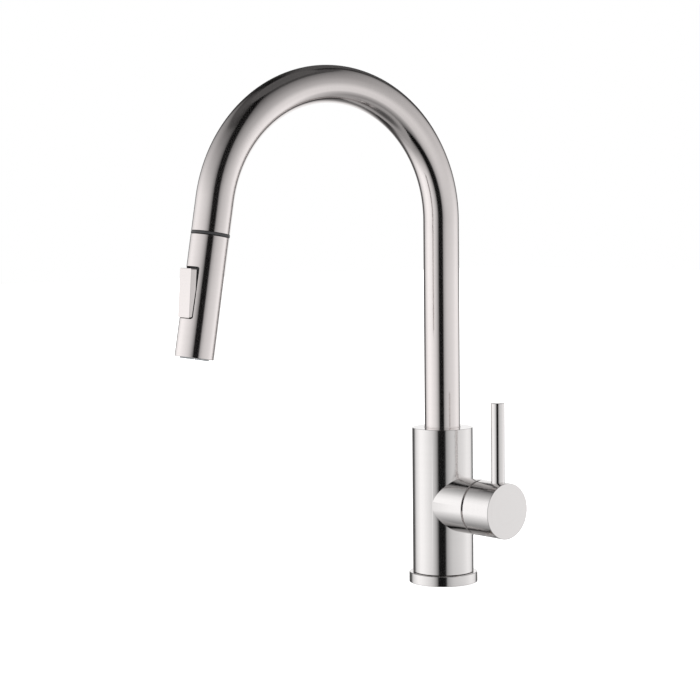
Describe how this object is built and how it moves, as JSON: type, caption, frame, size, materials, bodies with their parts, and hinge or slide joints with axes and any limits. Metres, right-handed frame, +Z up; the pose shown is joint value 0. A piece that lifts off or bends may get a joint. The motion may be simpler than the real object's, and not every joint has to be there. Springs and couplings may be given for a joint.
{
  "type": "pull-down kitchen faucet",
  "caption": "Gooseneck kitchen faucet in brushed nickel with a pull-down spray head, a rocker button on the head and a side lever on a round hub.",
  "frame": {"origin": "centre of the deck hole, on the deck's top face, where the column's axis meets it", "axes": "+Z up along the column; +X along the side hub towards the lever cap; the gooseneck points 6.44 degrees from -Y towards -X at rest"},
  "size_m": [0.1102, 0.2613, 0.4691],
  "materials": {
    "satin_nickel": "brushed nickel, turned grain round each piece",
    "machined_brass": "turned brass, unplated",
    "zinc_steel": "plain stainless or zinc-plated steel",
    "black_rubber": "matt black rubber",
    "dark_plastic": "dark grey moulded plastic",
    "grey_plastic": "mid grey moulded plastic",
    "white_plastic": "off-white moulded acetal",
    "grey_silicone": "soft grey silicone",
    "white_ceramic": "lapped white alumina",
    "hose_braid": "grey nylon braid over a rubber tube",
    "indicator_enamel": "red gloss plastic"
  },
  "bodies": {
    "body": {"base_flange": "satin_nickel", "base_gasket": "black_rubber", "body_shell": "satin_nickel", "bonnet_nut": "machined_brass", "cartridge_base": "white_plastic", "cartridge_housing": "white_plastic", "cold_nipple": "machined_brass", "cold_port_seal": "black_rubber", "deck_rubber_washer": "black_rubber", "deck_steel_washer": "zinc_steel", "dome_cover": "satin_nickel", "fixed_ceramic_disc": "white_ceramic", "hose_coupling": "machined_brass", "hose_lower": "hose_braid", "hot_nipple": "machined_brass", "hot_port_seal": "black_rubber", "mounting_nut": "machined_brass", "mounting_shank": "machined_brass", "nut_clamp_screw_1": "zinc_steel", "nut_clamp_screw_2": "zinc_steel", "outlet_nipple": "machined_brass", "outlet_port_seal": "black_rubber", "outlet_tube": "zinc_steel", "spout_retaining_screw": "zinc_steel", "spout_socket": "machined_brass", "valve_block": "machined_brass"},
    "spout": {"spout_tube": "satin_nickel", "spout_foot": "machined_brass", "swivel_o_ring_lower": "black_rubber", "swivel_o_ring_upper": "black_rubber", "slip_ring_lower": "white_plastic", "slip_ring_upper": "white_plastic", "hose_upper": "hose_braid", "dock_collar": "dark_plastic"},
    "hose_end": {"hose_ferrule": "machined_brass", "stem_seal": "black_rubber"},
    "spray_head": {"spray_shell": "satin_nickel", "spray_core": "grey_plastic", "core_seal": "black_rubber", "swivel_nut": "machined_brass", "check_valve": "white_plastic", "inlet_screen": "zinc_steel", "spray_face": "dark_plastic", "nozzle_ring": "grey_silicone", "aerator": "white_plastic", "rocker_pin": "zinc_steel"},
    "rocker": {"rocker_button": "satin_nickel"},
    "diverter": {"diverter_spool": "white_plastic"},
    "rotor": {"cartridge_rotor": "grey_plastic", "tilt_pin": "zinc_steel"},
    "lever": {"lever_stem": "zinc_steel", "handle_cap": "satin_nickel", "lever_pin": "satin_nickel", "handle_set_screw": "zinc_steel", "indicator_plug": "indicator_enamel"},
    "disc": {"moving_ceramic_disc": "white_ceramic", "disc_carrier": "dark_plastic"}
  },
  "joints": [
    {"name": "spout_swivel", "type": "hinge", "parent": "body", "child": "spout", "pos_m": [0, 0, 0.104], "axis": [0, 0, 1], "continuous": true},
    {"name": "hose_pull", "type": "slide", "parent": "spout", "child": "hose_end", "axis": [-0.0186, -0.1647, -0.9862], "range_m": [0, 0.15], "stiffness_N_per_m": 15, "springref_m": -0.4, "deforming": ["hose_upper"]},
    {"name": "head_spin", "type": "hinge", "parent": "hose_end", "child": "spray_head", "pos_m": [-0.0232, -0.20551, 0.27596], "axis": [-0.0186, -0.1647, -0.9862], "continuous": true},
    {"name": "spray_rocker", "type": "hinge", "parent": "spray_head", "child": "rocker", "pos_m": [-0.02484, -0.22006, 0.23411], "axis": [-0.9937, 0.1122, 0], "range_deg": [0, 10.8]},
    {"name": "diverter_slide", "type": "slide", "parent": "spray_head", "child": "diverter", "axis": [-0.0186, -0.1647, -0.9862], "range_m": [0, 0.0012]},
    {"name": "handle_temperature", "type": "hinge", "parent": "body", "child": "rotor", "pos_m": [0.021, 0, 0.063], "axis": [1, 0, 0], "range_deg": [-45, 45]},
    {"name": "handle_flow", "type": "hinge", "parent": "rotor", "child": "lever", "pos_m": [0.021, 0, 0.063], "axis": [0, 1, 0], "range_deg": [0, 20]},
    {"name": "disc_slide", "type": "slide", "parent": "rotor", "child": "disc", "axis": [0, 0, 1], "range_m": [0, 0.0016]}
  ],
  "couplings": [
    {"joint": "diverter_slide", "follows": "spray_rocker", "m_per_rad": 0.0045},
    {"joint": "disc_slide", "follows": "handle_flow", "m_per_rad": 0.0043}
  ]
}
